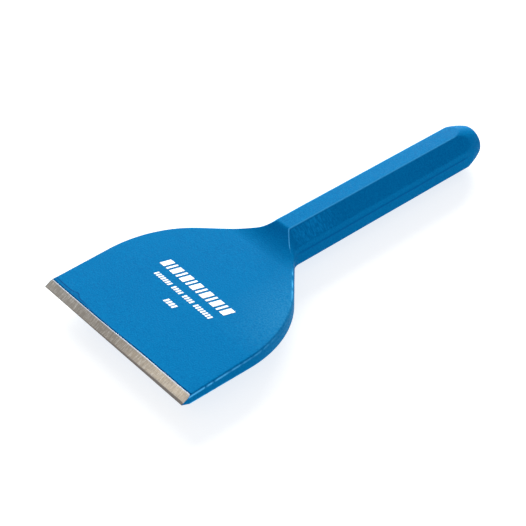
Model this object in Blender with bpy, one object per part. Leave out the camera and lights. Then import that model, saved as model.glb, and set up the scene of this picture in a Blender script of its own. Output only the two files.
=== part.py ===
"""Brick bolster chisel: one forging with a lacquer coat, a bare ground edge and printed marks.

The tool lies along Y with its cutting edge at -Y and its struck end at +Y. X runs across
the wide blade and Z is up out of the blade's broad face. The part's origin is the middle
of its bounding box in X and Y, on the shank's lower flat in Z. The shapes themselves are
worked out in the tool's own coordinates, where y is the distance from the cutting edge
and z = 0 is the middle of the forging's thickness.
"""

import math

import bmesh
import bpy
from mathutils import Vector

# Overall size, metres
LENGTH = 0.215
EDGE_WIDTH = 0.101

# Blade: straight sides, a round shoulder, a straight flank and a fillet into the shank
SHOULDER_START = 0.034
SHOULDER_RADIUS = 0.0505
FLANK_ANGLE = math.radians(49.0)
NECK_FILLET_RADIUS = 0.008
EDGE_THICKNESS = 0.0045
THICKNESS_GAIN_PER_LENGTH = 0.0456
BLADE_CORNER_LEG = 0.00065
BLADE_CORNER_ROUNDING = 0.00045

# Neck: the blade's faces curve up to the shank's flats
RAMP_START = 0.080
RAMP_END = 0.0943
FACET_FADE_START = 0.082
FACET_FADE_POWER = 2.2

# Shank: a regular octagon with softened corners
SHANK_FLATS = 0.02235
SHANK_CORNER_ROUNDING = 0.0004

# Struck end: a turned, slightly convex shoulder and a soft rim around a flat face
HEAD_SHOULDER_START = 0.2012
HEAD_SHOULDER_RADIUS = 0.01195
HEAD_FIRST_SLOPE = 0.114
HEAD_CURVATURE = 14.2
HEAD_RIM_ROUNDING = 0.0010

# Ground cutting edge, equal bevels above and below
BEVEL_LENGTH = 0.0047

# Coat and ink. The clearance keeps neighbouring solids apart.
COAT_THICKNESS = 0.00015
CLEARANCE = 0.00002
INK_THICKNESS = 0.00008

# Printed marks: generic bars on the blade's upper face, all turned by the same small angle
MARK_TURN = math.radians(-2.0)
MARK_SLANT = 0.35
BAR_MARK_CENTRE_Y = 0.0458
BAR_MARK_SIZE = (0.048, 0.0050)
BAR_MARK_TEETH = 9
BAR_MARK_SPINE = 0.0010
BAR_MARK_GAP = 0.0011
LINE_MARK_CENTRE_Y = 0.0384
LINE_MARK_SIZE = (0.0405, 0.0022)
BLOCK_MARK_CENTRE = (0.0008, 0.0313)
BLOCK_MARK_SIZE = (0.0075, 0.0025)

# Below this height a point counts as lying on the middle plane
TINY = 1e-9

# Steps along the curved stretches
SHOULDER_STEPS = 12
NECK_STEPS = 12
HEAD_STEPS = 6
RIM_STEPS = 2

SHANK_HALF = SHANK_FLATS / 2
SHANK_FACET_HALF = SHANK_HALF * math.tan(math.pi / 8)
BEVEL_BACK_HALF = EDGE_THICKNESS / 2 + THICKNESS_GAIN_PER_LENGTH / 2 * BEVEL_LENGTH


def clear_scene():
    """Remove every object that the scene starts with."""
    for obj in list(bpy.data.objects):
        bpy.data.objects.remove(obj, do_unlink=True)


def make_material(name, color, roughness, metallic):
    """A Principled BSDF with one colour."""
    material = bpy.data.materials.new(name)
    material.use_nodes = True
    shader = material.node_tree.nodes["Principled BSDF"]
    shader.inputs["Base Color"].default_value = (*color, 1.0)
    shader.inputs["Roughness"].default_value = roughness
    shader.inputs["Metallic"].default_value = metallic
    return material


def flank_start():
    """Where the round shoulder ends and the straight flank starts, as (x, y)."""
    centre_x = EDGE_WIDTH / 2 - SHOULDER_RADIUS
    return (
        centre_x + SHOULDER_RADIUS * math.cos(FLANK_ANGLE),
        SHOULDER_START + SHOULDER_RADIUS * math.sin(FLANK_ANGLE),
    )


def fillet_end_y():
    """Where the concave fillet meets the shank's side, and so the y of its centre."""
    start_x, start_y = flank_start()
    run = SHANK_HALF + NECK_FILLET_RADIUS - start_x
    return start_y + (NECK_FILLET_RADIUS - run * math.cos(FLANK_ANGLE)) / math.sin(FLANK_ANGLE)


def half_width(y):
    """Half the tool's width at y: side, shoulder arc, flank, fillet arc, shank."""
    start_x, start_y = flank_start()
    end_y = fillet_end_y()
    if y <= SHOULDER_START:
        return EDGE_WIDTH / 2
    if y <= start_y:
        rise = y - SHOULDER_START
        return EDGE_WIDTH / 2 - SHOULDER_RADIUS + math.sqrt(SHOULDER_RADIUS**2 - rise**2)
    if y <= end_y - NECK_FILLET_RADIUS * math.sin(FLANK_ANGLE):
        return start_x - (y - start_y) * math.tan(FLANK_ANGLE)
    if y <= end_y:
        return SHANK_HALF + NECK_FILLET_RADIUS - math.sqrt(NECK_FILLET_RADIUS**2 - (end_y - y) ** 2)
    return SHANK_HALF


def blade_half_height(y):
    """Half the blade's thickness, which grows evenly away from the edge."""
    return EDGE_THICKNESS / 2 + THICKNESS_GAIN_PER_LENGTH / 2 * y


def half_height(y):
    """Half the tool's thickness at y: blade, concave ramp, shank."""
    if y <= RAMP_START:
        return blade_half_height(y)
    if y >= RAMP_END:
        return SHANK_HALF
    rise = SHANK_HALF - blade_half_height(RAMP_START)
    run = RAMP_END - RAMP_START
    radius = (run**2 + rise**2) / (2 * rise)
    return blade_half_height(RAMP_START) + radius - math.sqrt(radius**2 - (y - RAMP_START) ** 2)


def section_corners(y, inset):
    """The two corners of the section's first quadrant, each as (x, z), moved in by inset.

    Every section is an octagon: a flat top, a slanting facet and an upright side. On the
    shank it is regular, and on the blade the slanting facet shrinks to the edge's rounding.
    """
    width = half_width(y)
    height = half_height(y)
    fade = min(max((y - FACET_FADE_START) / (RAMP_END - FACET_FADE_START), 0.0), 1.0)
    fade = fade**FACET_FADE_POWER
    top_x = width - BLADE_CORNER_LEG * (1 - fade) - (SHANK_HALF - SHANK_FACET_HALF) * fade
    blade_side_z = min(blade_half_height(y), height) - BLADE_CORNER_LEG
    side_z = blade_side_z * (1 - fade) + SHANK_FACET_HALF * fade
    normal = Vector((height - side_z, width - top_x)).normalized()
    reach = normal.dot(Vector((top_x, height))) - inset
    upper_corner = ((reach - normal.y * (height - inset)) / normal.x, height - inset)
    side_corner = (width - inset, (reach - normal.x * (width - inset)) / normal.y)
    return upper_corner, side_corner


def rounded_corner(before, corner, after, rounding, steps):
    """Points of a soft corner: a quadratic curve that starts and ends rounding away."""
    start = corner + (before - corner).normalized() * rounding
    end = corner + (after - corner).normalized() * rounding
    points = []
    for i in range(steps + 1):
        t = i / steps
        points.append(start * (1 - t) ** 2 + corner * 2 * t * (1 - t) + end * t**2)
    return points


def section_points(y, inset):
    """One closed section as (x, z) points, from the lower end of the +X side up and over."""
    (top_x, top_z), (side_x, side_z) = section_corners(y, inset)
    blend = min(max((y - FACET_FADE_START) / (RAMP_END - FACET_FADE_START), 0.0), 1.0)
    rounding = BLADE_CORNER_ROUNDING * (1 - blend) + SHANK_CORNER_ROUNDING * blend
    corners = [
        Vector((side_x, -side_z)),
        Vector((side_x, side_z)),
        Vector((top_x, top_z)),
        Vector((-top_x, top_z)),
        Vector((-side_x, side_z)),
        Vector((-side_x, -side_z)),
        Vector((-top_x, -top_z)),
        Vector((top_x, -top_z)),
    ]
    points = []
    for i, corner in enumerate(corners):
        before = corners[i - 1]
        after = corners[(i + 1) % len(corners)]
        points += rounded_corner(before, corner, after, rounding, 2)
        points.append((corner + after) / 2)
    return points


def head_profile(inset):
    """The turned outline of the struck end as (y, radius) points, ending on its flat face."""
    points = []
    run = LENGTH - HEAD_SHOULDER_START
    for i in range(HEAD_STEPS + 1):
        u = run * i / HEAD_STEPS
        radius = HEAD_SHOULDER_RADIUS - HEAD_FIRST_SLOPE * u - HEAD_CURVATURE * u**2
        points.append(Vector((HEAD_SHOULDER_START + u, radius - inset)))
    last = points.pop() - Vector((inset, 0.0))
    face_centre = Vector((last.x, 0.0))
    points += rounded_corner(points[-1], last, face_centre, HEAD_RIM_ROUNDING, RIM_STEPS)
    return points


def stations():
    """The y of each plain section between the ground edge and the struck end."""
    places = [BEVEL_LENGTH + BLADE_CORNER_LEG, SHOULDER_START]
    for i in range(1, SHOULDER_STEPS + 1):
        turn = FLANK_ANGLE * i / SHOULDER_STEPS
        places.append(SHOULDER_START + SHOULDER_RADIUS * math.sin(turn))
    for i in range(NECK_STEPS + 1):
        places.append(RAMP_START + (RAMP_END - RAMP_START) * i / NECK_STEPS)
    return places


def front_ring(inset):
    """The section's points moved along Y onto the two planes of the ground bevels."""
    slope = BEVEL_BACK_HALF / BEVEL_LENGTH
    return [Vector((p.x, abs(p.y) / slope, p.y)) for p in section_points(BEVEL_LENGTH, inset)]


def skin_rings(inset):
    """All rings of a skin that lies inset below the tool's outside, edge first."""
    rings = [front_ring(inset)]
    for y in stations():
        rings.append([Vector((p.x, y, p.y)) for p in section_points(y, inset)])
    shank = section_points(LENGTH, inset)
    for place in head_profile(inset):
        ring = []
        for p in shank:
            shrink = min(1.0, place.y / p.length)
            ring.append(Vector((p.x * shrink, place.x, p.y * shrink)))
        rings.append(ring)
    return rings


def bridge(mesh, near, far):
    """A closed band between two loops, split along the same diagonal on every skin."""
    for i in range(len(near)):
        j = (i + 1) % len(near)
        mesh.faces.new((near[i], near[j], far[j]))
        mesh.faces.new((near[i], far[j], far[i]))


def add_skin(mesh, inset):
    """A skin that lies inset below the tool's outside, closed over the struck end.

    Returns the open loop of vertices at the ground edge.
    """
    loops = [[mesh.verts.new(point) for point in ring] for ring in skin_rings(inset)]
    for near, far in zip(loops, loops[1:]):
        bridge(mesh, near, far)
    mesh.faces.new(loops[-1])
    return loops[0]


def finish_object(name, mesh, material, parent):
    """Turn a bmesh into a named object with its material under its parent."""
    bmesh.ops.recalc_face_normals(mesh, faces=mesh.faces)
    data = bpy.data.meshes.new(name)
    mesh.to_mesh(data)
    mesh.free()
    data.materials.append(material)
    obj = bpy.data.objects.new(name, data)
    obj.parent = parent
    bpy.context.scene.collection.objects.link(obj)
    return obj


def smooth(obj):
    """Shade the curved stretches smooth and keep the facets' borders sharp."""
    obj.data.shade_smooth()
    obj.data.set_sharp_from_angle(angle=math.radians(18.0))


def make_forging(material, parent):
    """The whole forging: blade, neck, shank and struck end, with its two ground bevels."""
    mesh = bmesh.new()
    edge = add_skin(mesh, COAT_THICKNESS + CLEARANCE)
    mesh.faces.new([v for v in edge if v.co.z > -TINY])
    mesh.faces.new([v for v in edge if v.co.z < TINY])
    smooth(finish_object("forged_steel_body", mesh, material, parent))


def make_coat(material, parent):
    """The lacquer: a thin sock over the forging, open where the edge is ground bare."""
    mesh = bmesh.new()
    inner_edge = add_skin(mesh, COAT_THICKNESS)
    outer_edge = add_skin(mesh, 0.0)
    bridge(mesh, inner_edge, outer_edge)
    smooth(finish_object("lacquer_coat", mesh, material, parent))


def slanted_block(left, right, low, high):
    """Corners of a parallelogram whose top leans towards +X."""
    return [
        (left + MARK_SLANT * low, low),
        (right + MARK_SLANT * low, low),
        (right + MARK_SLANT * high, high),
        (left + MARK_SLANT * high, high),
    ]


def bar_mark_outline():
    """A comb: a thin spine along the bottom with slanted teeth of equal width."""
    width, height = BAR_MARK_SIZE
    low = -height / 2
    high = height / 2
    spine_top = low + BAR_MARK_SPINE
    pitch = (width + BAR_MARK_GAP) / BAR_MARK_TEETH
    outline = []
    for i in reversed(range(BAR_MARK_TEETH)):
        left = -width / 2 + pitch * i
        right = left + pitch - BAR_MARK_GAP
        outline.append((right + MARK_SLANT * spine_top, spine_top))
        outline.append((right + MARK_SLANT * high, high))
        outline.append((left + MARK_SLANT * high, high))
        outline.append((left + MARK_SLANT * spine_top, spine_top))
    base_left = -width / 2 + MARK_SLANT * low
    base_right = width / 2 + MARK_SLANT * low
    return [(base_left, low), (base_right, low)] + outline


def make_mark(name, outline, centre, material, blade_face):
    """A printed mark: an outline given a thickness, lying just above the lacquer."""
    mesh = bmesh.new()
    face = mesh.faces.new([mesh.verts.new((x, y, 0.0)) for x, y in outline])
    raised = bmesh.ops.extrude_face_region(mesh, geom=[face])
    top = [item for item in raised["geom"] if isinstance(item, bmesh.types.BMVert)]
    bmesh.ops.translate(mesh, verts=top, vec=(0.0, 0.0, INK_THICKNESS))
    obj = finish_object(name, mesh, material, blade_face)
    obj.location = (centre[0], centre[1], CLEARANCE)
    obj.rotation_euler = (0.0, 0.0, MARK_TURN)


def make_empty(name, location, rotation, parent):
    """A frame that other objects are placed in."""
    empty = bpy.data.objects.new(name, None)
    empty.location = location
    empty.rotation_euler = rotation
    empty.parent = parent
    bpy.context.scene.collection.objects.link(empty)
    return empty


def main():
    clear_scene()
    steel = make_material("bare_steel", (0.42, 0.38, 0.33), 0.38, 1.0)
    lacquer = make_material("blue_lacquer", (0.0, 0.21, 0.50), 0.35, 0.0)
    ink = make_material("white_ink", (0.85, 0.87, 0.88), 0.5, 0.0)

    tool = make_empty("tool_frame", (0.0, -LENGTH / 2, SHANK_HALF), (0.0, 0.0, 0.0), None)
    face_tilt = math.atan(THICKNESS_GAIN_PER_LENGTH / 2)
    blade_face = make_empty("blade_face", (0.0, 0.0, EDGE_THICKNESS / 2), (face_tilt, 0.0, 0.0), tool)

    make_forging(steel, tool)
    make_coat(lacquer, tool)
    make_mark("printed_bar_mark", bar_mark_outline(), (0.0, BAR_MARK_CENTRE_Y), ink, blade_face)
    width, height = LINE_MARK_SIZE
    line = slanted_block(-width / 2, width / 2, -height / 2, height / 2)
    make_mark("printed_line_mark", line, (0.0, LINE_MARK_CENTRE_Y), ink, blade_face)
    width, height = BLOCK_MARK_SIZE
    block = slanted_block(-width / 2, width / 2, -height / 2, height / 2)
    make_mark("printed_block_mark", block, BLOCK_MARK_CENTRE, ink, blade_face)


main()
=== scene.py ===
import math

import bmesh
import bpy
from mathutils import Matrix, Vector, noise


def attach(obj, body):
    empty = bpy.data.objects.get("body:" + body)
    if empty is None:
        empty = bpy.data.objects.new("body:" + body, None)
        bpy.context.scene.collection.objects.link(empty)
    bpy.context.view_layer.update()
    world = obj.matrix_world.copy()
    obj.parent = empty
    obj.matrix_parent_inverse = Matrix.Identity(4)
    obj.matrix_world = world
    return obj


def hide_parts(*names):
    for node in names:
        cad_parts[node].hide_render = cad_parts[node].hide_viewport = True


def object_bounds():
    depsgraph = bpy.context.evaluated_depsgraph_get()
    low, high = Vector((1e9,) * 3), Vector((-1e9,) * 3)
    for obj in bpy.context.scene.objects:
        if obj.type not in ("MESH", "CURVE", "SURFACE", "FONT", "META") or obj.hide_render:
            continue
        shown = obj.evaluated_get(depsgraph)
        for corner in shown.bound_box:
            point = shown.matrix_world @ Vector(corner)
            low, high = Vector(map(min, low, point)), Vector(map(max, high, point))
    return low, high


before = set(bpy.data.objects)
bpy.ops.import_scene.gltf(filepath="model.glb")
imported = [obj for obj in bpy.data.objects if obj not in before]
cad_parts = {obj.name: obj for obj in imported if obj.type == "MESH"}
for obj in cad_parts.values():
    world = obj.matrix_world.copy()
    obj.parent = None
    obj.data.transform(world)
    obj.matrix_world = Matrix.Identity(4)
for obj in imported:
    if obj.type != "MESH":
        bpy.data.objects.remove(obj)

# Looks of the brick bolster chisel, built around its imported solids.
#
# Shapes are worked out in the tool's own coordinates, as in the CAD source: y is the distance
# from the cutting edge, x runs across the blade and z = 0 is the middle of the thickness.
# place() moves such a point into the shared frame. Lengths are in metres.

cad_low, cad_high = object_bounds()

# Overall size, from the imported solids
WIDTH = cad_high.x - cad_low.x
LENGTH = cad_high.y - cad_low.y
SHANK_FLATS = cad_high.z - cad_low.z
SHANK_HALF = SHANK_FLATS / 2
SHANK_FACET_HALF = SHANK_HALF * math.tan(math.pi / 8)
MIDDLE_X = (cad_low.x + cad_high.x) / 2

# Blade outline and thickness
SHOULDER_START = 0.034
SHOULDER_RADIUS = 0.0505
FLANK_ANGLE = math.radians(49.0)
NECK_FILLET_RADIUS = 0.008
EDGE_THICKNESS = 0.0045
FACE_SLOPE = 0.0228
BLADE_CORNER_LEG = 0.00065
BLADE_CORNER_ROUNDING = 0.00045

# Neck and shank
RAMP_START = 0.080
RAMP_END = 0.0943
RAMP_SOFTNESS = 0.0011
FACET_FADE_START = 0.082
FACET_FADE_POWER = 2.2
SHANK_CORNER_ROUNDING = 0.0006

# Struck end
HEAD_SHOULDER_START = 0.2012
HEAD_SHOULDER_RADIUS = 0.01195
HEAD_FIRST_SLOPE = 0.114
HEAD_CURVATURE = 14.2
HEAD_RIM_ROUNDING = 0.0012

# Ground edge: its length varies a little across the blade
BEVEL_LENGTH = 0.00465
BEVEL_DRIFT = 0.00042
BEVEL_DRIFT_CENTRE = 0.004
BEVEL_DRIFT_SPAN = 0.014
BEVEL_CORNER_GAIN = 0.0003
BEVEL_CORNER_SPAN = 0.003
BEVEL_WANDER = 0.00005
HONED_BULGE = 0.00016
HONED_WIDTH = 0.0009

# Films
COAT_THICKNESS = 0.00015
CLEARANCE = 0.00002
INK_THICKNESS = 0.00006

# Unevenness of the forging: height, waves per metre, and where along the tool
WAVE_HEIGHT = 0.00003
WAVE_SCALE = 45.0
NECK_WAVE_HEIGHT = 0.00005
NECK_WAVE_SCALE = 160.0
NECK_WAVE_SHIFT = Vector((5, 1, 7))
NECK_WAVE_ZONE = ((0.070, 0.086), (0.105, 0.135))

# Parting line along both sides
PARTING_Z = 0.0011
PARTING_WIDTH = 0.0005
PARTING_HEIGHT = 0.00018
PARTING_SHANK_ZONE = ((0.088, 0.100), (0.198, 0.206))
PARTING_BLADE_ZONE = ((0.030, 0.050), (0.080, 0.088))
PARTING_BLADE_SHARE = 0.35

# Lacquer beside the ground edge
FRINGE_THICKNESS = 0.00006
FRINGE_WIDTH = 0.00045
FRINGE_LEFT_GAIN = 0.0011
FRINGE_TAIL_GAIN = 0.0006
FRINGE_RUN_GAIN = 0.0010
FRINGE_RUN_X = -0.0335
FRINGE_RUN_SPAN = 0.0022
FACE_DEPTH = 0.0005

# Painted highlights on the long corners: where along the tool the lacquer is painted pale to stand
# for a highlight
HIGHLIGHT_BREAKS = Vector((20, 520, 9))
HIGHLIGHT_RAMP_ZONE = ((0.0875, 0.0895), (0.094, 0.096))
HIGHLIGHT_SHOULDER_ZONE = ((0.064, 0.074), (0.080, 0.083))
HIGHLIGHT_SHANK_ZONE = ((0.0945, 0.0960), (0.198, 0.202))

# Rings: back to EDGE_ZONE they follow the ground edge, and NECK_ZONE has them close together
EDGE_ZONE = 0.012
NECK_ZONE = (0.078, 0.097)
BLADE_SPACING = 0.0014
NECK_SPACING = 0.0005
SHANK_SPACING = 0.0018
COARSE_GRAIN = 5.0
COARSE_NECK_GRAIN = 2.0

# Divisions around a section: on each broad face, slanting facet and corner
BROAD_STEPS = 88
FACET_STEPS = 8
CORNER_STEPS = 5


def place(point):
    """A point in the tool's coordinates, moved into the shared frame."""
    return (MIDDLE_X + point[0], cad_low.y + point[1], cad_low.z + SHANK_HALF + point[2])


def smoothstep(low, high, value):
    """0 below low, 1 above high, with a smooth rise between them."""
    t = min(max((value - low) / (high - low), 0.0), 1.0)
    return t * t * (3 - 2 * t)


def window(value, rise, fall):
    """Rises smoothly from 0 to 1 over one span and falls back to 0 over the other."""
    return smoothstep(*rise, value) * (1 - smoothstep(*fall, value))


# ---------------------------------------------------------------- tool shape


def flank_start():
    """Where the round shoulder ends and the straight flank starts, as (x, y)."""
    centre_x = WIDTH / 2 - SHOULDER_RADIUS
    return (
        centre_x + SHOULDER_RADIUS * math.cos(FLANK_ANGLE),
        SHOULDER_START + SHOULDER_RADIUS * math.sin(FLANK_ANGLE),
    )


def fillet_end_y():
    """Where the concave fillet meets the shank's side."""
    start_x, start_y = flank_start()
    run = SHANK_HALF + NECK_FILLET_RADIUS - start_x
    return start_y + (NECK_FILLET_RADIUS - run * math.cos(FLANK_ANGLE)) / math.sin(FLANK_ANGLE)


def half_width(y):
    """Half the tool's width: side, shoulder arc, flank, fillet arc, shank."""
    start_x, start_y = flank_start()
    end_y = fillet_end_y()
    if y <= SHOULDER_START:
        return WIDTH / 2
    if y <= start_y:
        return WIDTH / 2 - SHOULDER_RADIUS + math.sqrt(SHOULDER_RADIUS**2 - (y - SHOULDER_START) ** 2)
    if y <= end_y - NECK_FILLET_RADIUS * math.sin(FLANK_ANGLE):
        return start_x - (y - start_y) * math.tan(FLANK_ANGLE)
    if y <= end_y:
        return SHANK_HALF + NECK_FILLET_RADIUS - math.sqrt(NECK_FILLET_RADIUS**2 - (end_y - y) ** 2)
    return SHANK_HALF


def blade_half_height(y):
    """Half the blade's thickness."""
    return EDGE_THICKNESS / 2 + FACE_SLOPE * y


def half_height(y):
    """Half the tool's thickness: blade, concave ramp, shank."""
    if y <= RAMP_START:
        return blade_half_height(y)
    if y >= RAMP_END + RAMP_SOFTNESS:
        return SHANK_HALF
    rise = SHANK_HALF - blade_half_height(RAMP_START)
    run = RAMP_END - RAMP_START
    radius = (run**2 + rise**2) / (2 * rise)
    ramp = blade_half_height(RAMP_START) + radius - math.sqrt(radius**2 - (y - RAMP_START) ** 2)
    share = min(max(0.5 + (SHANK_HALF - ramp) / (2 * RAMP_SOFTNESS), 0.0), 1.0)
    return SHANK_HALF + (ramp - SHANK_HALF) * share - RAMP_SOFTNESS * share * (1 - share)


def section_corners(y, inset):
    """The corners of the octagonal section's first quadrant as (x, z), moved in by inset."""
    width = half_width(y)
    height = half_height(y)
    fade = min(max((y - FACET_FADE_START) / (RAMP_END - FACET_FADE_START), 0.0), 1.0)
    fade = fade**FACET_FADE_POWER
    top_x = width - BLADE_CORNER_LEG * (1 - fade) - (SHANK_HALF - SHANK_FACET_HALF) * fade
    blade_side_z = min(blade_half_height(y), height) - BLADE_CORNER_LEG
    side_z = blade_side_z * (1 - fade) + SHANK_FACET_HALF * fade
    normal = Vector((height - side_z, width - top_x)).normalized()
    reach = normal.dot(Vector((top_x, height))) - inset
    upper = Vector(((reach - normal.y * (height - inset)) / normal.x, height - inset))
    side = Vector((width - inset, (reach - normal.x * (width - inset)) / normal.y))
    return upper, side


def corner_curve(before, corner, after, rounding):
    """The points of a soft corner."""
    start = corner + (before - corner).normalized() * rounding
    end = corner + (after - corner).normalized() * rounding
    curve = []
    for i in range(CORNER_STEPS + 1):
        t = i / CORNER_STEPS
        curve.append(start * (1 - t) ** 2 + corner * 2 * t * (1 - t) + end * t**2)
    return curve


def side_heights():
    """Heights of the points along a side, closer together around the parting line."""
    offsets = (-1.0, -0.5, 0.0, 0.5, 1.0, 2.0)
    upper = [PARTING_Z + PARTING_WIDTH * offset for offset in offsets] + [0.0028, 0.0038]
    return [-z for z in reversed(upper)] + [0.0] + upper


def section_ring(y, inset):
    """One closed section as (x, z) points, starting at the lower right corner."""
    upper, side = section_corners(y, inset)
    blend = smoothstep(FACET_FADE_START, RAMP_END, y)
    rounding = BLADE_CORNER_ROUNDING * (1 - blend) + SHANK_CORNER_ROUNDING * blend
    corners = [
        Vector((side.x, -side.y)),
        Vector((side.x, side.y)),
        Vector((upper.x, upper.y)),
        Vector((-upper.x, upper.y)),
        Vector((-side.x, side.y)),
        Vector((-side.x, -side.y)),
        Vector((-upper.x, -upper.y)),
        Vector((upper.x, -upper.y)),
    ]
    curves = []
    for i, corner in enumerate(corners):
        curves.append(corner_curve(corners[i - 1], corner, corners[(i + 1) % 8], rounding))
    side_half = curves[1][0].y
    shares = [z / SHANK_FACET_HALF for z in side_heights()]
    points = []
    for i, curve in enumerate(curves):
        points += curve
        start = curve[-1]
        end = curves[(i + 1) % 8][0]
        if i == 0:
            points += [Vector((start.x, share * side_half)) for share in shares]
        elif i == 4:
            points += [Vector((start.x, share * side_half)) for share in reversed(shares)]
        else:
            steps = BROAD_STEPS if i in (2, 6) else FACET_STEPS
            points += [start.lerp(end, j / steps) for j in range(1, steps)]
    return points


def bevel_length(x):
    """How far back the grinding reaches at x, with its drift and its small wander."""
    length = BEVEL_LENGTH + BEVEL_DRIFT * math.tanh((x - BEVEL_DRIFT_CENTRE) / BEVEL_DRIFT_SPAN)
    length += BEVEL_CORNER_GAIN * math.exp((abs(x) - WIDTH / 2) / BEVEL_CORNER_SPAN)
    wander = noise.noise(Vector((x * 180, 3.1, 0))) + 0.5 * noise.noise(Vector((x * 700, 8.2, 0)))
    return length + BEVEL_WANDER * wander


def bevel_slope(x):
    """Rise over run of the ground bevel at x."""
    length = bevel_length(x)
    return blade_half_height(length) / length


def edge_rows(inset, reach, shares):
    """Rings from the ground edge back to y = reach. Each row is a share of the way there."""
    ring = section_ring(reach, inset)
    rows = []
    for share in shares:
        row = []
        for p in ring:
            start = abs(p.y) * blade_half_height(BEVEL_LENGTH) / blade_half_height(reach)
            start /= bevel_slope(p.x)
            y = start + (reach - start) * share
            squeeze = (blade_half_height(y) - inset) / (blade_half_height(reach) - inset)
            row.append(Vector((p.x, y, p.y * squeeze)))
        rows.append(row)
    return rows


def head_profile(inset, steps):
    """The turned outline of the struck end as (y, radius) points, ending on its flat face."""
    points = []
    run = LENGTH - HEAD_SHOULDER_START
    for i in range(steps + 1):
        u = run * i / steps
        radius = HEAD_SHOULDER_RADIUS - HEAD_FIRST_SLOPE * u - HEAD_CURVATURE * u**2
        points.append(Vector((HEAD_SHOULDER_START + u, radius - inset)))
    last = points.pop() - Vector((inset, 0.0))
    while (last - points[-1]).length < HEAD_RIM_ROUNDING:
        points.pop()
    return points + corner_curve(points[-1], last, Vector((last.x, 0.0)), HEAD_RIM_ROUNDING)


def head_rows(inset, steps, face_rings):
    """Rings of the struck end, with rings across its flat face."""
    ring = section_ring(LENGTH, inset)
    profile = head_profile(inset, steps)
    rim = profile[-1]
    for i in range(1, face_rings):
        profile.append(Vector((rim.x, rim.y * (1 - i / face_rings))))
    rows = []
    for on_outline in profile:
        row = []
        for p in ring:
            shrink = min(1.0, on_outline.y / p.length)
            row.append(Vector((p.x * shrink, on_outline.x, p.y * shrink)))
        rows.append(row)
    return rows


def spaced(start, end, step):
    """Values from start up to but not including end, about step apart."""
    count = max(1, round((end - start) / step))
    return [start + (end - start) * i / count for i in range(count)]


def skin_rows(inset, fine):
    """All rings of a skin that lies inset below the tool's outside, edge first."""
    grain = 1.0 if fine else COARSE_GRAIN
    if fine:
        shares = [0, 0.006, 0.015]
        shares += [0.03 + 0.03 * i for i in range(12)]
        shares += [0.42, 0.52, 0.64, 0.78, 0.9]
    else:
        shares = [0, 0.1, 0.4]
    rows = edge_rows(inset, EDGE_ZONE, shares)
    neck_start, neck_end = NECK_ZONE
    places = spaced(EDGE_ZONE, neck_start, BLADE_SPACING * grain)
    places += spaced(neck_start, neck_end, NECK_SPACING * min(grain, COARSE_NECK_GRAIN))
    places += spaced(neck_end, HEAD_SHOULDER_START, SHANK_SPACING * grain)
    for y in places:
        rows.append([Vector((p.x, y, p.y)) for p in section_ring(y, inset)])
    return rows + head_rows(inset, 30 if fine else 6, 7 if fine else 2)


# ---------------------------------------------------------------- mesh helpers


def bridge(mesh, near, far):
    """A closed band of quads between two loops."""
    for i in range(len(near)):
        j = (i + 1) % len(near)
        mesh.faces.new((near[i], near[j], far[j], far[i]))


def add_skin(mesh, rows):
    """A skin through the rows, closed over the struck end. Returns its open loop."""
    loops = [[mesh.verts.new(point) for point in row] for row in rows]
    for near, far in zip(loops, loops[1:]):
        bridge(mesh, near, far)
    middle = sum((v.co for v in loops[-1]), Vector()) / len(loops[-1])
    hub = mesh.verts.new(middle)
    last = loops[-1]
    for i in range(len(last)):
        mesh.faces.new((last[i], last[(i + 1) % len(last)], hub))
    return loops[0]


def finish_piece(name, mesh, material, slot, *nodes):
    """A bmesh in the tool's coordinates becomes a finished piece in the shared frame."""
    bmesh.ops.recalc_face_normals(mesh, faces=mesh.faces)
    for v in mesh.verts:
        v.co = place(v.co)
    data = bpy.data.meshes.new(name)
    mesh.to_mesh(data)
    mesh.free()
    data.materials.append(material)
    piece = bpy.data.objects.new(name, data)
    bpy.context.scene.collection.objects.link(piece)
    data.shade_smooth()
    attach(piece, "root")
    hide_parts(*nodes)
    return piece


# ---------------------------------------------------------------- surface of the lacquer


def forging_unevenness(p):
    """The forging's slow waves under the lacquer, stronger around the neck."""
    slow = noise.noise(p * WAVE_SCALE) * WAVE_HEIGHT
    quick = noise.noise(p * NECK_WAVE_SCALE + NECK_WAVE_SHIFT) * NECK_WAVE_HEIGHT
    return slow + window(p.y, *NECK_WAVE_ZONE) * quick


def parting_line(p):
    """The faint raised line that the forging dies leave along both sides."""
    if abs(p.x) < half_width(p.y) - 0.0006:
        return 0.0
    across = (p.z - PARTING_Z) / PARTING_WIDTH
    shank = window(p.y, *PARTING_SHANK_ZONE)
    blade = PARTING_BLADE_SHARE * window(p.y, *PARTING_BLADE_ZONE)
    return PARTING_HEIGHT * (shank + blade) * math.exp(-across * across)


def fringe_width(x):
    """Width of the thick band of lacquer beside the ground edge, with one run near -X."""
    left = 1 - smoothstep(-0.033, -0.030, x)
    tail = 1 - smoothstep(-0.030, -0.008, x)
    run = math.exp(-(((x - FRINGE_RUN_X) / FRINGE_RUN_SPAN) ** 2))
    width = FRINGE_WIDTH + FRINGE_LEFT_GAIN * left + FRINGE_RUN_GAIN * run
    return width + FRINGE_TAIL_GAIN * tail * (1 - left)


def beside_edge(p):
    """Whether p is on a broad face and near the ground edge."""
    return p.y <= EDGE_ZONE and abs(p.z) >= blade_half_height(p.y) - FACE_DEPTH


def lacquer_fringe(p):
    """The lacquer is thicker beside the ground edge, and ends there in a round lip."""
    if not beside_edge(p):
        return 0.0
    back = p.y - bevel_length(p.x)
    width = fringe_width(p.x)
    thick = 1 - smoothstep(width - 0.0002, width + 0.0003, back)
    lip = 1 - smoothstep(0.0, 0.00025, back)
    return FRINGE_THICKNESS * (thick - lip)


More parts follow.
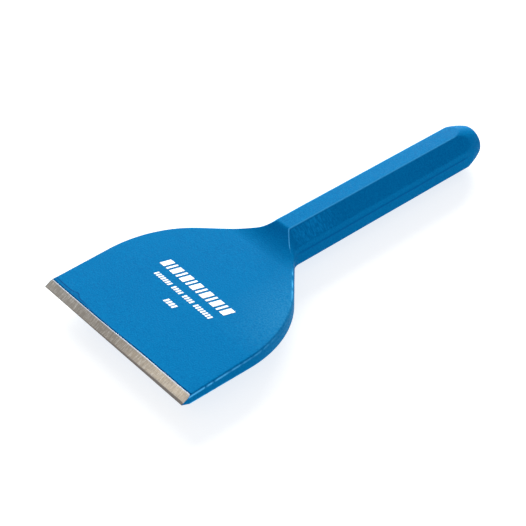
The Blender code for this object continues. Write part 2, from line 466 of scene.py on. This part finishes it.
def fringe_line(p):
    """The dark line where the thick band of lacquer ends, and another at the ground edge."""
    if not beside_edge(p):
        return 0.0
    back = p.y - bevel_length(p.x)
    width = fringe_width(p.x)
    outline = math.exp(-(((back - width) / 0.00022) ** 2))
    fade = 1 - 0.75 * smoothstep(-0.030, -0.020, p.x) - 0.25 * smoothstep(-0.012, 0.0, p.x)
    inside = 0.22 * (1 - smoothstep(width - 0.0003, width, back))
    return max(outline * fade, inside, 0.9 * math.exp(-((back / 0.00015) ** 2)))


def painted_corner_highlight(p):
    """How strongly a painted highlight lies on the tool's long corners, in broken lengths: a pale
    line painted into the lacquer.
    """
    upper, side = section_corners(p.y, 0.0)
    across = Vector((abs(p.x), abs(p.z)))
    low = 1 - smoothstep(0.00012, 0.00055, (across - side).length)
    high = 1 - smoothstep(0.00012, 0.00060, (across - upper).length)
    breaks = smoothstep(0.30, 0.62, 0.60 + noise.noise(p * HIGHLIGHT_BREAKS))
    front = 1 - 0.65 * smoothstep(0.012, 0.040, p.y) - 0.35 * smoothstep(0.040, 0.056, p.y)
    neck = window(p.y, *HIGHLIGHT_RAMP_ZONE) + window(p.y, *HIGHLIGHT_SHOULDER_ZONE)
    shank = 0.30 * window(p.y, *HIGHLIGHT_SHANK_ZONE)
    return max(low * front * breaks, 0.75 * high * neck * breaks, high * shank)


def lay_lacquer(mesh, verts):
    """Move the outer skin's vertices along their normals to the lacquer's real surface."""
    mesh.normal_update()
    highlight = mesh.verts.layers.float["painted_corner_highlight"]
    seam = mesh.verts.layers.float["parting_seam"]
    fringe = mesh.verts.layers.float["fringe_line"]
    moves = []
    for v in verts:
        p = v.co.copy()
        # Painted highlight on the long corners, kept for the lacquer's colour
        v[highlight] = painted_corner_highlight(p)
        v[seam] = parting_line(p) / PARTING_HEIGHT
        v[fringe] = fringe_line(p)
        moves.append(forging_unevenness(p) + parting_line(p) + lacquer_fringe(p))
    for v, move in zip(verts, moves):
        v.co += v.normal * move


def make_lacquer(material):
    """The lacquer: a closed thin shell, open at the ground edge, detailed on its outside."""
    mesh = bmesh.new()
    mesh.verts.layers.float.new("painted_corner_highlight")
    mesh.verts.layers.float.new("parting_seam")
    mesh.verts.layers.float.new("fringe_line")
    cut = mesh.faces.layers.float.new("cut_face")
    outer_edge = add_skin(mesh, skin_rows(0.0, True))
    bmesh.ops.recalc_face_normals(mesh, faces=mesh.faces)
    open_edge = set(outer_edge)
    lay_lacquer(mesh, [v for v in mesh.verts if v not in open_edge])
    inner_edge = add_skin(mesh, skin_rows(COAT_THICKNESS, False))
    rim_start = len(mesh.faces)
    bridge(mesh, inner_edge, outer_edge)
    mesh.faces.ensure_lookup_table()
    for face in mesh.faces[rim_start:]:
        face[cut] = 1.0
    finish_piece("lacquer_skin", mesh, material, "blue_lacquer", "lacquer_coat")


# ---------------------------------------------------------------- bare steel

# Rows of a bevel, as shares of the way from the tip to its back
BEVEL_SHARES = (0.03, 0.07, 0.12, 0.18, 0.25, 0.34, 0.48, 0.64, 0.80, 0.90, 0.96)


def honed_bulge(x, share):
    """The honed strip by the tip stands a little proud of the ground bevel."""
    ends = 1 - smoothstep(WIDTH / 2 - 0.003, WIDTH / 2 - 0.0005, abs(x))
    taper = smoothstep(-0.022, 0.030, x)
    width = HONED_WIDTH * (0.25 + 0.75 * taper) / BEVEL_LENGTH
    rise = share / width if share < width else (1 - share) / (1 - width)
    return HONED_BULGE * ends * (0.3 + 0.7 * taper) * rise


def split_at_corners(edge):
    """The open loop as its upper and lower halves, both from the +X corner to the -X corner."""
    right = min(range(len(edge)), key=lambda i: (abs(edge[i].co.z), -edge[i].co.x))
    edge = edge[right:] + edge[:right]
    left = min(range(1, len(edge)), key=lambda i: (abs(edge[i].co.z), edge[i].co.x))
    return edge[: left + 1], [edge[0]] + edge[left:][::-1]


def bevel_row(mesh, tip, back, share, along):
    """The vertices of one row of a bevel, at a share of the way from the tip to its back."""
    row = [tip[0]]
    for v in back[1:-1]:
        end = v.co
        p = Vector((end.x, end.y * share, end.z * share))
        p.z += math.copysign(honed_bulge(end.x, share), end.z)
        row.append(mesh.verts.new(p))
        row[-1][along] = share
    return row + [tip[-1]]


def join_rows(mesh, near, far):
    """Faces between two rows, which may share their end points."""
    for i in range(len(near) - 1):
        corners = [near[i], near[i + 1], far[i + 1], far[i]]
        corners = [v for k, v in enumerate(corners) if v not in corners[:k]]
        if len(corners) > 2:
            mesh.faces.new(corners)


def make_steel(material):
    """The bare forging: a plain body under the lacquer and two finely divided bevels."""
    mesh = bmesh.new()
    along = mesh.verts.layers.float.new("bevel_share")
    edge = add_skin(mesh, skin_rows(COAT_THICKNESS + CLEARANCE, False))
    upper, lower = split_at_corners(edge)
    tip = [upper[0]]
    tip += [mesh.verts.new((v.co.x, 0.0, 0.0)) for v in upper[1:-1]]
    tip.append(upper[-1])
    for back in (upper, lower):
        rows = [tip] + [bevel_row(mesh, tip, back, share, along) for share in BEVEL_SHARES]
        for v in back:
            v[along] = 1.0
        rows.append(back)
        for near, far in zip(rows, rows[1:]):
            join_rows(mesh, near, far)
    finish_piece("ground_steel", mesh, material, "bare_steel", "forged_steel_body")


# ---------------------------------------------------------------- printed marks

MARK_TURN = math.radians(-2.0)
MARK_SLANT = 0.35
MARK_CORNER = 0.00012
MARK_CORNER_STEPS = 3

BAR_CENTRE = (0.0, 0.0458)
BAR_ROW_LENGTH = 0.048
BAR_HEIGHT = 0.0050
BAR_WIDTHS = [0.0034, 0.0013] * 6 + [0.0034]

# Rows of dashes: how many in each group, then dash, gap, space between groups and height
LINE_CENTRE = (0.0, 0.0384)
LINE_DASHES = ((7, 4, 4, 7), 0.0011, 0.0006, 0.0020, 0.0022)
BLOCK_CENTRE = (0.0008, 0.0313)
BLOCK_DASHES = ((4,), 0.0013, 0.0006, 0.0, 0.0025)


def slanted(left, right, low, high):
    """The corners of a parallelogram whose top leans towards +X."""
    return [
        (left + MARK_SLANT * low, low),
        (right + MARK_SLANT * low, low),
        (right + MARK_SLANT * high, high),
        (left + MARK_SLANT * high, high),
    ]


def make_mark(name, outlines, centre, material, node):
    """Flat closed films of ink on the blade's upper face, one for each outline."""
    tilt = Matrix.Rotation(math.atan(FACE_SLOPE), 4, "X")
    base = Matrix.Translation((0.0, 0.0, EDGE_THICKNESS / 2))
    shift = Matrix.Translation((*centre, CLEARANCE))
    onto_face = base @ tilt @ shift @ Matrix.Rotation(MARK_TURN, 4, "Z")
    mesh = bmesh.new()
    for outline in outlines:
        face = mesh.faces.new([mesh.verts.new((x, y, 0.0)) for x, y in outline])
        raised = bmesh.ops.extrude_face_region(mesh, geom=[face])
        top = [item for item in raised["geom"] if isinstance(item, bmesh.types.BMVert)]
        bmesh.ops.translate(mesh, verts=top, vec=(0.0, 0.0, INK_THICKNESS))
    upright = [e for e in mesh.edges if e.verts[0].co.z != e.verts[1].co.z]
    bmesh.ops.bevel(
        mesh, geom=upright, offset=MARK_CORNER, segments=MARK_CORNER_STEPS, affect="EDGES"
    )
    bmesh.ops.transform(mesh, matrix=onto_face, verts=mesh.verts)
    piece = finish_piece(name, mesh, material, "white_ink", node)
    piece.data.shade_flat()


def bar_outlines():
    """Slanted blocks of two widths in turn, along one base line."""
    gap = (BAR_ROW_LENGTH - sum(BAR_WIDTHS)) / (len(BAR_WIDTHS) - 1)
    outlines = []
    left = -BAR_ROW_LENGTH / 2
    for width in BAR_WIDTHS:
        outlines.append(slanted(left, left + width, -BAR_HEIGHT / 2, BAR_HEIGHT / 2))
        left += width + gap
    return outlines


def dash_outlines(groups, dash, gap, space, height):
    """Rows of short dashes in groups, centred on the middle."""
    total = sum(groups) * dash + (sum(groups) - len(groups)) * gap + (len(groups) - 1) * space
    left = -total / 2
    outlines = []
    for count in groups:
        for _ in range(count):
            outlines.append(slanted(left, left + dash, -height / 2, height / 2))
            left += dash + gap
        left += space - gap
    return outlines


# ---------------------------------------------------------------- materials

LACQUER_DEEP = (0.0, 0.128, 0.340)
LACQUER_PLAIN = (0.0, 0.142, 0.362)
LACQUER_GRAIN = (0.001, 0.190, 0.440)
LACQUER_STROKES = (0.004, 0.25, 0.57)
# Painted sheen on the +X shoulder
LACQUER_SHEEN = (0.030, 0.240, 0.470)
# Painted shade along the parting seam
LACQUER_SEAM_SHADE = (0.0, 0.115, 0.32)
LACQUER_FRINGE = (0.0, 0.035, 0.15)
# Pale blue of the painted highlights on the corners
LACQUER_HIGHLIGHT = (0.11, 0.58, 1.0)
LACQUER_CUT = (0.0, 0.09, 0.24)
LACQUER_SPECULAR = 0.0038

# Steel from left to right: darkest in the middle, much lighter towards +X as painted reflection
STEEL_LEFT = (0.37, 0.31, 0.24)
STEEL_MIDDLE = (0.33, 0.26, 0.19)
STEEL_RIGHT_REFLECTION = (0.74, 0.58, 0.41)
STEEL_SCORE = (0.30, 0.26, 0.215)
STEEL_SHINE = (0.95, 0.89, 0.80)
STEEL_CLOUD = (0.33, 0.28, 0.24)
STEEL_HONED = (0.25, 0.20, 0.16)
# Near-white of the painted highlight along the burr
STEEL_BURR_HIGHLIGHT = (0.74, 0.79, 0.86)
STEEL_METALLIC = 0.4

INK_WHITE = (0.88, 0.90, 0.92)
INK_THIN = (0.72, 0.79, 0.86)

# Sockets of the Mix node in its colour mode
MIX_FACTOR, MIX_FIRST, MIX_SECOND = 0, 6, 7
MIX_RESULT = 2


def new_material(name):
    """A node material, its Principled shader and its object coordinates."""
    material = bpy.data.materials.new(name)
    material.use_nodes = True
    tree = material.node_tree
    shader = tree.nodes["Principled BSDF"]
    coordinates = tree.nodes.new("ShaderNodeTexCoord").outputs["Object"]
    return material, tree, shader, coordinates


def link(tree, source, target):
    """Joins an output to an input."""
    tree.links.new(source, target)


def noise_at(tree, coordinates, scale, detail=2.0, roughness=0.5, stretch=None):
    """Noise over the surface. scale is in waves per metre."""
    if stretch is not None:
        mapping = tree.nodes.new("ShaderNodeMapping")
        mapping.inputs["Scale"].default_value = stretch
        link(tree, coordinates, mapping.inputs["Vector"])
        coordinates = mapping.outputs["Vector"]
    node = tree.nodes.new("ShaderNodeTexNoise")
    node.inputs["Scale"].default_value = scale
    node.inputs["Detail"].default_value = detail
    node.inputs["Roughness"].default_value = roughness
    link(tree, coordinates, node.inputs["Vector"])
    return node.outputs["Fac"]


def map_range(tree, value, low, high, to_low, to_high):
    """value, stretched from one range onto another and held at its ends."""
    node = tree.nodes.new("ShaderNodeMapRange")
    node.inputs["From Min"].default_value = low
    node.inputs["From Max"].default_value = high
    node.inputs["To Min"].default_value = to_low
    node.inputs["To Max"].default_value = to_high
    link(tree, value, node.inputs["Value"])
    return node.outputs["Result"]


def mix_color(tree, factor, first, second):
    """A mix of two colours, each a fixed colour or another node's output."""
    node = tree.nodes.new("ShaderNodeMix")
    node.data_type = "RGBA"
    for index, value in ((MIX_FIRST, first), (MIX_SECOND, second)):
        if isinstance(value, tuple):
            node.inputs[index].default_value = (*value, 1.0)
        else:
            link(tree, value, node.inputs[index])
    link(tree, factor, node.inputs[MIX_FACTOR])
    return node.outputs[MIX_RESULT]


def math_node(tree, operation, first, second=0.0):
    """One Math node. Each input is a number or another node's output."""
    node = tree.nodes.new("ShaderNodeMath")
    node.operation = operation
    for socket, value in zip(node.inputs, (first, second)):
        if isinstance(value, float):
            socket.default_value = value
        else:
            link(tree, value, socket)
    return node.outputs[0]


def bump(tree, height, distance, strength, below=None):
    """A bump, which may lie over another one."""
    node = tree.nodes.new("ShaderNodeBump")
    node.inputs["Distance"].default_value = distance
    node.inputs["Strength"].default_value = strength
    link(tree, height, node.inputs["Height"])
    if below is not None:
        link(tree, below, node.inputs["Normal"])
    return node.outputs["Normal"]


def axis_value(tree, coordinates, axis):
    """The X, Y or Z of the coordinates."""
    node = tree.nodes.new("ShaderNodeSeparateXYZ")
    link(tree, coordinates, node.inputs[0])
    return node.outputs[axis]


def attribute(tree, name):
    """A float that the mesh carries."""
    node = tree.nodes.new("ShaderNodeAttribute")
    node.attribute_name = name
    return node.outputs["Fac"]


def neck_roughness_zone(tree, coordinates):
    """1 on the slanting facets beside the neck, fading along the shank."""
    z = math_node(tree, "SUBTRACT", axis_value(tree, coordinates, "Z"), cad_low.z + SHANK_HALF)
    z = math_node(tree, "ABSOLUTE", z)
    above = map_range(tree, z, SHANK_FACET_HALF - 0.0004, SHANK_FACET_HALF + 0.0006, 0.15, 1.0)
    y = axis_value(tree, coordinates, "Y")
    neck_y = cad_low.y + RAMP_END
    fade_in = map_range(tree, y, neck_y - 0.006, neck_y + 0.001, 0.0, 1.0)
    fade_out = map_range(tree, y, neck_y + 0.015, neck_y + 0.060, 1.0, 0.12)
    x = math_node(tree, "ABSOLUTE", axis_value(tree, coordinates, "X"))
    aside = map_range(tree, x, SHANK_FACET_HALF, SHANK_FACET_HALF + 0.0008, 0.12, 1.0)
    slanting = math_node(tree, "MULTIPLY", aside, above)
    along = math_node(tree, "MULTIPLY", fade_in, fade_out)
    return math_node(tree, "MULTIPLY", slanting, along)


def shoulder_sheen_zone(tree, coordinates):
    """1 on the blade's +X shoulder, where a speckled sheen is painted into the lacquer."""
    x = axis_value(tree, coordinates, "X")
    y = axis_value(tree, coordinates, "Y")
    across = map_range(tree, x, 0.014, 0.042, 0.0, 1.0)
    along = map_range(tree, y, cad_low.y + 0.034, cad_low.y + 0.060, 0.0, 1.0)
    return math_node(tree, "MULTIPLY", across, along)


def lacquer_color(tree, coordinates, strokes):
    """Blue with a soft mottle, a painted sheen on the shoulder, painted shade along the parting seam,
    the dark lines by the ground edge, painted highlights on the corners and the darker cut rim.
    """
    broad = noise_at(tree, coordinates, 28.0, 3.0)
    broad = map_range(tree, broad, 0.35, 0.65, 0.0, 1.0)
    color = mix_color(tree, broad, LACQUER_DEEP, LACQUER_PLAIN)
    grain = noise_at(tree, coordinates, 1500.0, 3.0, 0.7)
    color = mix_color(tree, map_range(tree, grain, 0.32, 0.68, 0.0, 0.95), color, LACQUER_GRAIN)
    lit = map_range(tree, strokes, 0.42, 0.62, 0.0, 0.75)
    color = mix_color(tree, lit, color, LACQUER_STROKES)
    # Painted sheen: lighter speckles on the +X shoulder
    painted_sheen = noise_at(tree, coordinates, 1150.0, 4.0, 0.75)
    painted_sheen = map_range(tree, painted_sheen, 0.42, 0.66, 0.15, 1.0)
    painted_sheen = math_node(tree, "MULTIPLY", shoulder_sheen_zone(tree, coordinates), painted_sheen)
    color = mix_color(tree, painted_sheen, color, LACQUER_SHEEN)
    # The parting seam is a real raised line; the darker colour along it is painted shade
    color = mix_color(tree, attribute(tree, "parting_seam"), color, LACQUER_SEAM_SHADE)
    color = mix_color(tree, attribute(tree, "fringe_line"), color, LACQUER_FRINGE)
    # Painted highlight: pale broken lines along the long corners
    color = mix_color(tree, attribute(tree, "painted_corner_highlight"), color, LACQUER_HIGHLIGHT)
    return mix_color(tree, attribute(tree, "cut_face"), color, LACQUER_CUT)


def lacquer_material():
    """Semi-gloss blue lacquer: orange peel, and hammer strokes beside the neck."""
    material, tree, shader, coordinates = new_material("blue_lacquer_look")
    strokes = noise_at(tree, coordinates, 800.0, 3.0, 0.6, (0.5, 1.6, 0.5))
    strokes = math_node(tree, "MULTIPLY", strokes, neck_roughness_zone(tree, coordinates))
    link(tree, lacquer_color(tree, coordinates, strokes), shader.inputs["Base Color"])
    patches = noise_at(tree, coordinates, 260.0, 2.0)
    link(tree, map_range(tree, patches, 0.3, 0.7, 0.34, 0.46), shader.inputs["Roughness"])
    shader.inputs["Specular IOR Level"].default_value = LACQUER_SPECULAR
    peel = noise_at(tree, coordinates, 1300.0, 3.0, 0.65)
    peel = bump(tree, peel, 0.00012, 1.0)
    link(tree, bump(tree, strokes, 0.0003, 0.9, peel), shader.inputs["Normal"])
    return material


def steel_color(tree, coordinates, lines):
    """The steel's colour across the blade, painted lighter towards +X as reflection, with its lines,
    clouds, honed strip and a painted highlight on the burr.
    """
    x = axis_value(tree, coordinates, "X")
    inward = map_range(tree, x, cad_low.x + 0.15 * WIDTH, cad_low.x + 0.45 * WIDTH, 0.0, 1.0)
    color = mix_color(tree, inward, STEEL_LEFT, STEEL_MIDDLE)
    # Painted reflection: the bevel painted much lighter towards +X
    across = map_range(tree, x, cad_low.x + 0.5 * WIDTH, cad_low.x + 0.9 * WIDTH, 0.0, 1.0)
    color = mix_color(tree, across, color, STEEL_RIGHT_REFLECTION)
    color = mix_color(tree, map_range(tree, lines, 0.35, 0.5, 0.4, 0.0), color, STEEL_SCORE)
    color = mix_color(tree, map_range(tree, lines, 0.5, 0.7, 0.0, 0.7), color, STEEL_SHINE)
    cross_lines = noise_at(tree, coordinates, 2600.0, 2.0, 0.6, (0.05, 1.0, 1.0))
    cross_lines = map_range(tree, cross_lines, 0.4, 0.6, 0.25, 0.0)
    color = mix_color(tree, cross_lines, color, STEEL_SCORE)
    clouds = noise_at(tree, coordinates, 160.0, 2.0)
    clouds = map_range(tree, clouds, 0.4, 0.75, 0.0, 0.35)
    color = mix_color(tree, clouds, color, STEEL_CLOUD)
    share = attribute(tree, "bevel_share")
    reach = map_range(tree, x, cad_low.x + 0.2 * WIDTH, cad_high.x, 0.06, 0.22)
    past = math_node(tree, "SUBTRACT", share, reach)
    color = mix_color(tree, map_range(tree, past, -0.03, 0.03, 1.0, 0.0), color, STEEL_HONED)
    # Painted highlight: a near-white line along the burr at the back of the bevel
    return mix_color(tree, map_range(tree, share, 0.90, 0.96, 0.0, 1.0), color, STEEL_BURR_HIGHLIGHT)


def steel_material():
    """Bare ground steel: fine lines up the bevel, a browner honed strip by the tip."""
    material, tree, shader, coordinates = new_material("ground_steel_look")
    lines = noise_at(tree, coordinates, 2900.0, 3.0, 0.8, (1.0, 0.10, 0.10))
    link(tree, steel_color(tree, coordinates, lines), shader.inputs["Base Color"])
    shader.inputs["Metallic"].default_value = STEEL_METALLIC
    link(tree, map_range(tree, lines, 0.3, 0.7, 0.38, 0.55), shader.inputs["Roughness"])
    link(tree, bump(tree, lines, 0.00002, 0.5), shader.inputs["Normal"])
    return material


def ink_material():
    """Thin white ink, a little uneven."""
    material, tree, shader, coordinates = new_material("white_ink_look")
    uneven = noise_at(tree, coordinates, 1300.0, 3.0)
    thin = map_range(tree, uneven, 0.3, 0.7, 0.0, 0.35)
    link(tree, mix_color(tree, thin, INK_WHITE, INK_THIN), shader.inputs["Base Color"])
    shader.inputs["Roughness"].default_value = 0.5
    link(tree, bump(tree, uneven, 0.00001, 0.5), shader.inputs["Normal"])
    return material


# ---------------------------------------------------------------- studio

FLOOR_HALF_SIZE = 25.0
FLOOR_GAP = 0.0001
FLOOR_GLOW = 0.76
FLOOR_DARK = (0.37, 0.36, 0.34)
FLOOR_LIGHT = (0.39, 0.38, 0.36)
SURROUND_COLOR = (0.72, 0.82, 1.0)
SURROUND_STRENGTH = 0.61

# Soft lamps that face the middle of the tool: name, place, size, watts and colour
LAMPS = (
    ("key_softbox", (-1.11, 0.48, 0.78), (0.9, 0.9), 21.5, (1.0, 1.0, 0.88)),
    ("sheen_softbox", (-0.80, 1.05, 0.52), (0.6, 0.6), 22.0, (1.0, 1.0, 0.90)),
    ("edge_strip", (1.10, 0.62, 0.32), (0.25, 0.9), 0.6, (1.0, 1.0, 1.0)),
)

# Camera, in the tool's coordinates: the picture's upright leans along the tool
CAMERA_FROM = (0.3437, -0.1719, 0.3305)
CAMERA_LOOKS_AT = (0.00416, 0.07903, 0.00019)
CAMERA_LEAN = math.radians(5.05)
CAMERA_LENS = 83.4
CAMERA_NEAR = 0.01


def make_floor():
    """A plain pale floor that the shank's lower flat rests on."""
    material, tree, shader, coordinates = new_material("studio_floor")
    shade = noise_at(tree, coordinates, 3.0, 2.0)
    link(tree, mix_color(tree, shade, FLOOR_DARK, FLOOR_LIGHT), shader.inputs["Base Color"])
    shader.inputs["Roughness"].default_value = 0.8
    shader.inputs["Emission Color"].default_value = (1.0, 1.0, 1.0, 1.0)
    shader.inputs["Emission Strength"].default_value = FLOOR_GLOW
    mesh = bmesh.new()
    bmesh.ops.create_grid(mesh, x_segments=8, y_segments=8, size=FLOOR_HALF_SIZE)
    data = bpy.data.meshes.new("studio_floor")
    mesh.to_mesh(data)
    mesh.free()
    data.materials.append(material)
    floor = bpy.data.objects.new("studio_floor", data)
    floor.location = (0.0, 0.0, cad_low.z - FLOOR_GAP)
    bpy.context.scene.collection.objects.link(floor)


def make_lamp(name, location, size, energy, color):
    """A soft rectangular lamp that faces the middle of the tool."""
    lamp = bpy.data.lights.new(name, "AREA")
    lamp.energy = energy
    lamp.color = color
    lamp.shape = "RECTANGLE"
    lamp.size, lamp.size_y = size
    holder = bpy.data.objects.new(name, lamp)
    holder.location = location
    holder.rotation_euler = (-Vector(location)).to_track_quat("-Z", "Y").to_euler()
    bpy.context.scene.collection.objects.link(holder)


def make_studio():
    """Soft light from behind and above -X, with an even pale surround."""
    world = bpy.data.worlds.new("studio_surround")
    world.use_nodes = True
    background = world.node_tree.nodes["Background"]
    background.inputs["Color"].default_value = (*SURROUND_COLOR, 1.0)
    background.inputs["Strength"].default_value = SURROUND_STRENGTH
    bpy.context.scene.world = world
    for lamp in LAMPS:
        make_lamp(*lamp)
    bpy.context.scene.view_settings.view_transform = "Standard"


def make_camera():
    """A long lens above the +X side, turned so that the tool lies across the picture."""
    camera = bpy.data.cameras.new("camera")
    camera.lens = CAMERA_LENS
    camera.clip_start = CAMERA_NEAR
    holder = bpy.data.objects.new("camera", camera)
    eye = Vector(place(CAMERA_FROM))
    forward = (Vector(place(CAMERA_LOOKS_AT)) - eye).normalized()
    upright = Vector((0.0, math.sin(CAMERA_LEAN), math.cos(CAMERA_LEAN)))
    right = forward.cross(upright).normalized()
    above = right.cross(forward)
    turn = Matrix((right, above, -forward)).transposed()
    holder.matrix_world = Matrix.Translation(eye) @ turn.to_4x4()
    bpy.context.scene.collection.objects.link(holder)
    bpy.context.scene.camera = holder


make_camera()
make_lacquer(lacquer_material())
make_steel(steel_material())
ink = ink_material()
make_mark("bar_print", bar_outlines(), BAR_CENTRE, ink, "printed_bar_mark")
make_mark("line_print", dash_outlines(*LINE_DASHES), LINE_CENTRE, ink, "printed_line_mark")
make_mark("block_print", dash_outlines(*BLOCK_DASHES), BLOCK_CENTRE, ink, "printed_block_mark")
make_floor()
make_studio()
